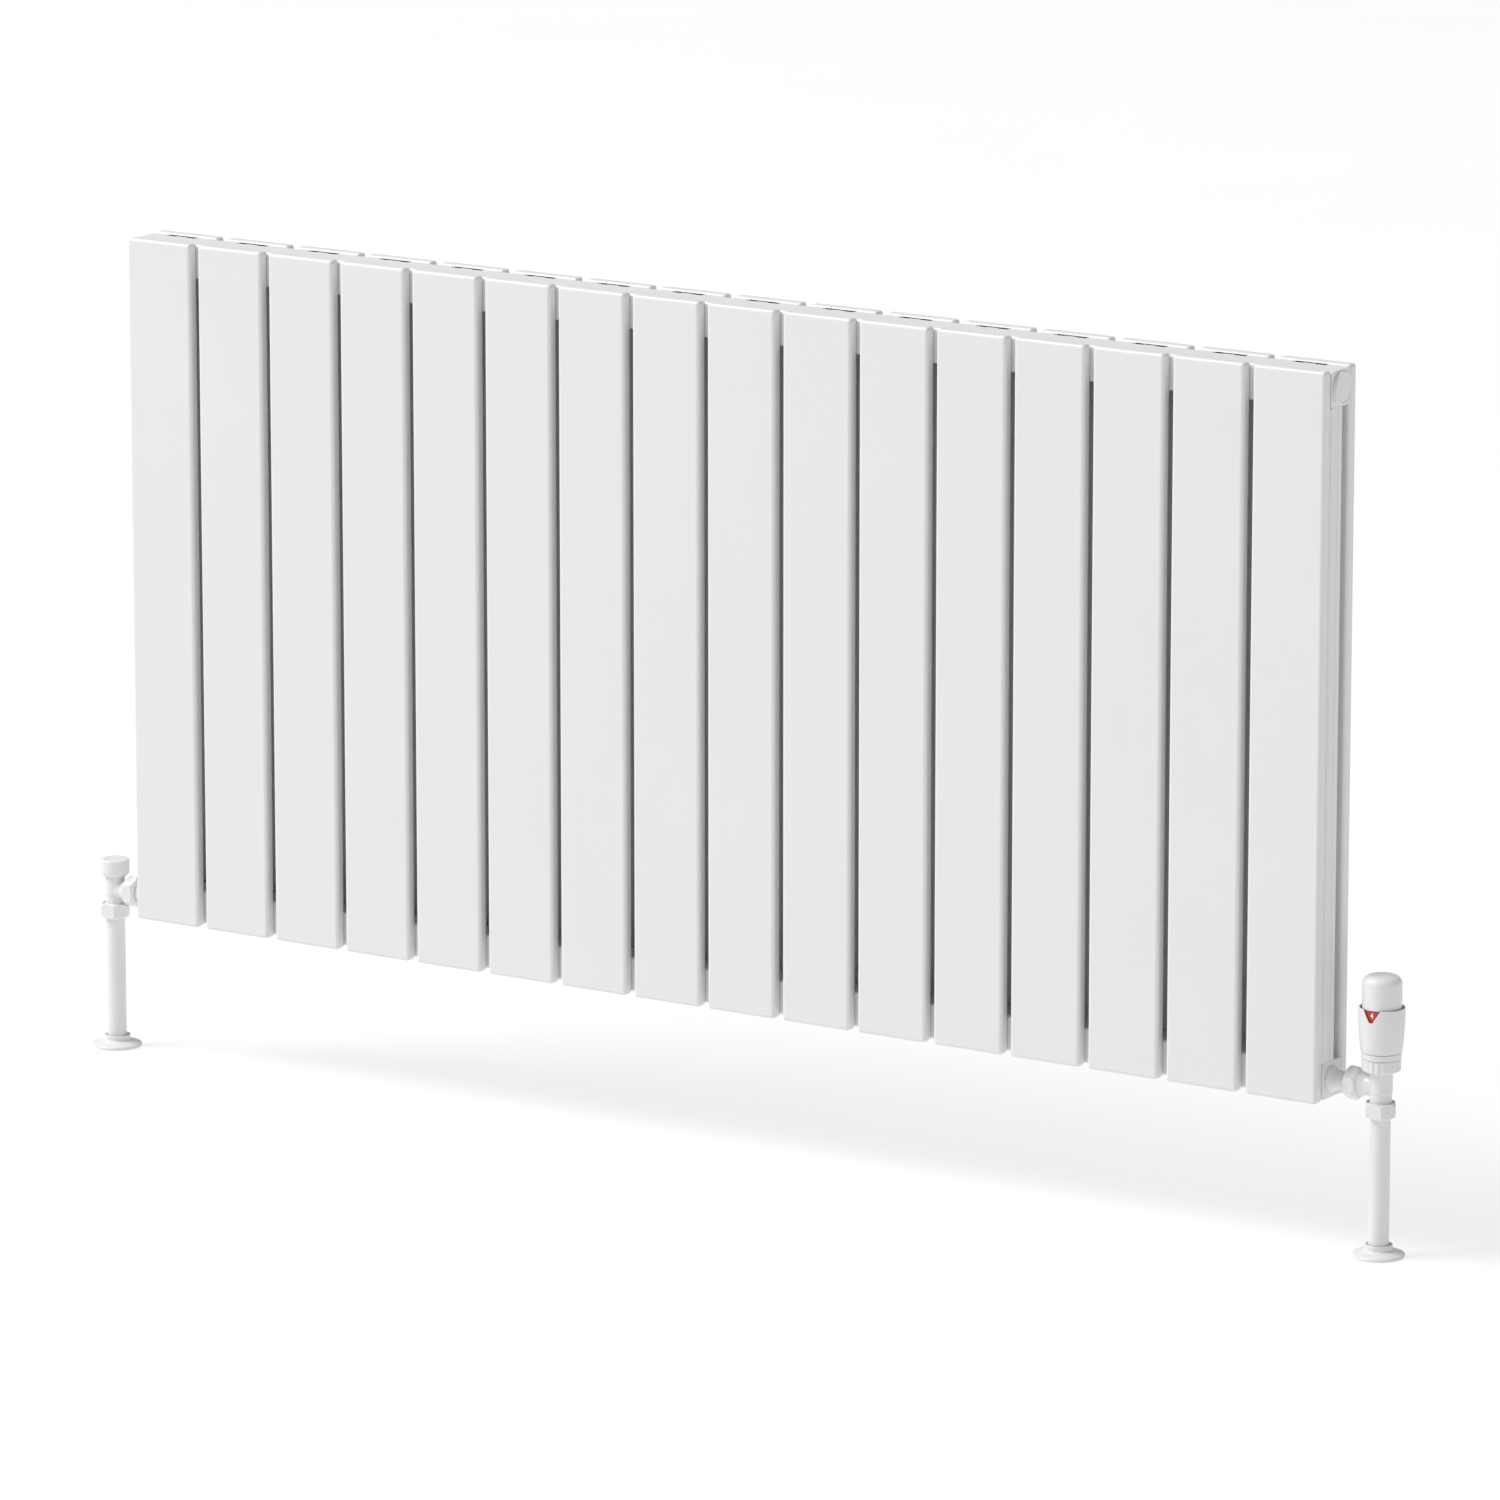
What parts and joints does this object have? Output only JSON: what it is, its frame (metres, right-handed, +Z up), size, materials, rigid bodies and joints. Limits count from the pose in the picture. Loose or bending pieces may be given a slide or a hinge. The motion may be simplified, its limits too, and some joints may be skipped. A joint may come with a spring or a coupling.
{
  "type": "radiator with valves",
  "caption": "Wall-hung double flat-panel radiator with an angled thermostatic valve, a lockshield valve, pipe covers and floor collars.",
  "frame": {"origin": "centre of the four wall fixing holes, on the wall plane, at mid height and mid width of the radiator", "axes": "+Z up, +Y into the wall, +X to the right for someone facing the radiator; the room is at -Y"},
  "size_m": [1.3067, 0.082, 0.725],
  "materials": {
    "white_enamel": "satin white powder coat",
    "white_valve": "satin white paint on brass",
    "white_plastic": "satin white plastic",
    "scale_red": "red plastic with white numerals",
    "brass": "turned brass",
    "copper": "drawn copper tube",
    "steel": "ground stainless steel",
    "sensor_metal": "satin aluminium"
  },
  "bodies": {
    "radiator": {"front_panel_01": "white_enamel", "front_panel_02": "white_enamel", "front_panel_03": "white_enamel", "front_panel_04": "white_enamel", "front_panel_05": "white_enamel", "front_panel_06": "white_enamel", "front_panel_07": "white_enamel", "front_panel_08": "white_enamel", "front_panel_09": "white_enamel", "front_panel_10": "white_enamel", "front_panel_11": "white_enamel", "front_panel_12": "white_enamel", "front_panel_13": "white_enamel", "front_panel_14": "white_enamel", "front_panel_15": "white_enamel", "front_panel_16": "white_enamel", "back_panel_01": "white_enamel", "back_panel_02": "white_enamel", "back_panel_03": "white_enamel", "back_panel_04": "white_enamel", "back_panel_05": "white_enamel", "back_panel_06": "white_enamel", "back_panel_07": "white_enamel", "back_panel_08": "white_enamel", "back_panel_09": "white_enamel", "back_panel_10": "white_enamel", "back_panel_11": "white_enamel", "back_panel_12": "white_enamel", "back_panel_13": "white_enamel", "back_panel_14": "white_enamel", "back_panel_15": "white_enamel", "back_panel_16": "white_enamel", "top_header": "white_enamel", "bottom_header": "white_enamel", "end_risers": "white_enamel", "blanking_plug": "white_enamel", "vent_plug": "white_enamel", "union_tails": "white_valve", "union_nuts": "white_valve", "compression_nuts": "white_valve", "pipes": "copper", "pipe_covers": "white_plastic", "floor_collars": "white_plastic", "trv_body": "white_valve", "trv_insert": "brass", "trv_spring": "steel", "trv_head_nut": "white_plastic", "trv_head_base": "white_plastic", "trv_scale_ring": "scale_red", "trv_sensor_cap": "white_plastic", "lock_body": "white_valve", "wall_brackets": "white_enamel", "hanging_lugs": "white_enamel"},
    "vent_screw": {"vent_screw": "brass"},
    "handwheel": {"trv_handwheel": "white_plastic"},
    "wax_sensor": {"trv_sensor": "sensor_metal"},
    "valve_spindle": {"trv_spindle": "steel"},
    "lockshield_cap": {"lock_cap": "white_plastic"},
    "lockshield_spindle": {"lock_spindle": "brass"},
    "lockshield_plug": {"lock_plug": "brass"}
  },
  "joints": [
    {"name": "handwheel_turn", "type": "hinge", "parent": "radiator", "child": "handwheel", "pos_m": [0.6336, -0.056, -0.2835], "axis": [0, 0, 1], "range_deg": [-200.1, 50.1]},
    {"name": "sensor_travel", "type": "slide", "parent": "radiator", "child": "wax_sensor", "axis": [0, 0, 1], "range_m": [-0.0016, 0.0004]},
    {"name": "spindle_travel", "type": "slide", "parent": "radiator", "child": "valve_spindle", "axis": [0, 0, 1], "range_m": [-0.00161, 0.00041], "deforming": ["trv_spring"]},
    {"name": "lockshield_cap_lift", "type": "slide", "parent": "radiator", "child": "lockshield_cap", "axis": [0, 0, 1], "range_m": [0, 0.03]},
    {"name": "lockshield_spindle_turn", "type": "hinge", "parent": "radiator", "child": "lockshield_spindle", "pos_m": [-0.6298, -0.056, -0.2835], "axis": [0, 0, 1], "range_deg": [-450.1, 570.1]},
    {"name": "lockshield_plug_travel", "type": "slide", "parent": "radiator", "child": "lockshield_plug", "axis": [0, 0, 1], "range_m": [-0.00187, 0.00237]},
    {"name": "vent_screw_turn", "type": "hinge", "parent": "radiator", "child": "vent_screw", "pos_m": [-0.588, -0.056, 0.2835], "axis": [-1, 0, 0], "range_deg": [0, 360]}
  ],
  "couplings": [
    {"joint": "handwheel_turn", "follows": "sensor_travel", "rad_per_m": 2181.7},
    {"joint": "spindle_travel", "follows": "sensor_travel", "ratio": 1},
    {"joint": "lockshield_spindle_turn", "follows": "lockshield_plug_travel", "rad_per_m": 4188.8}
  ]
}
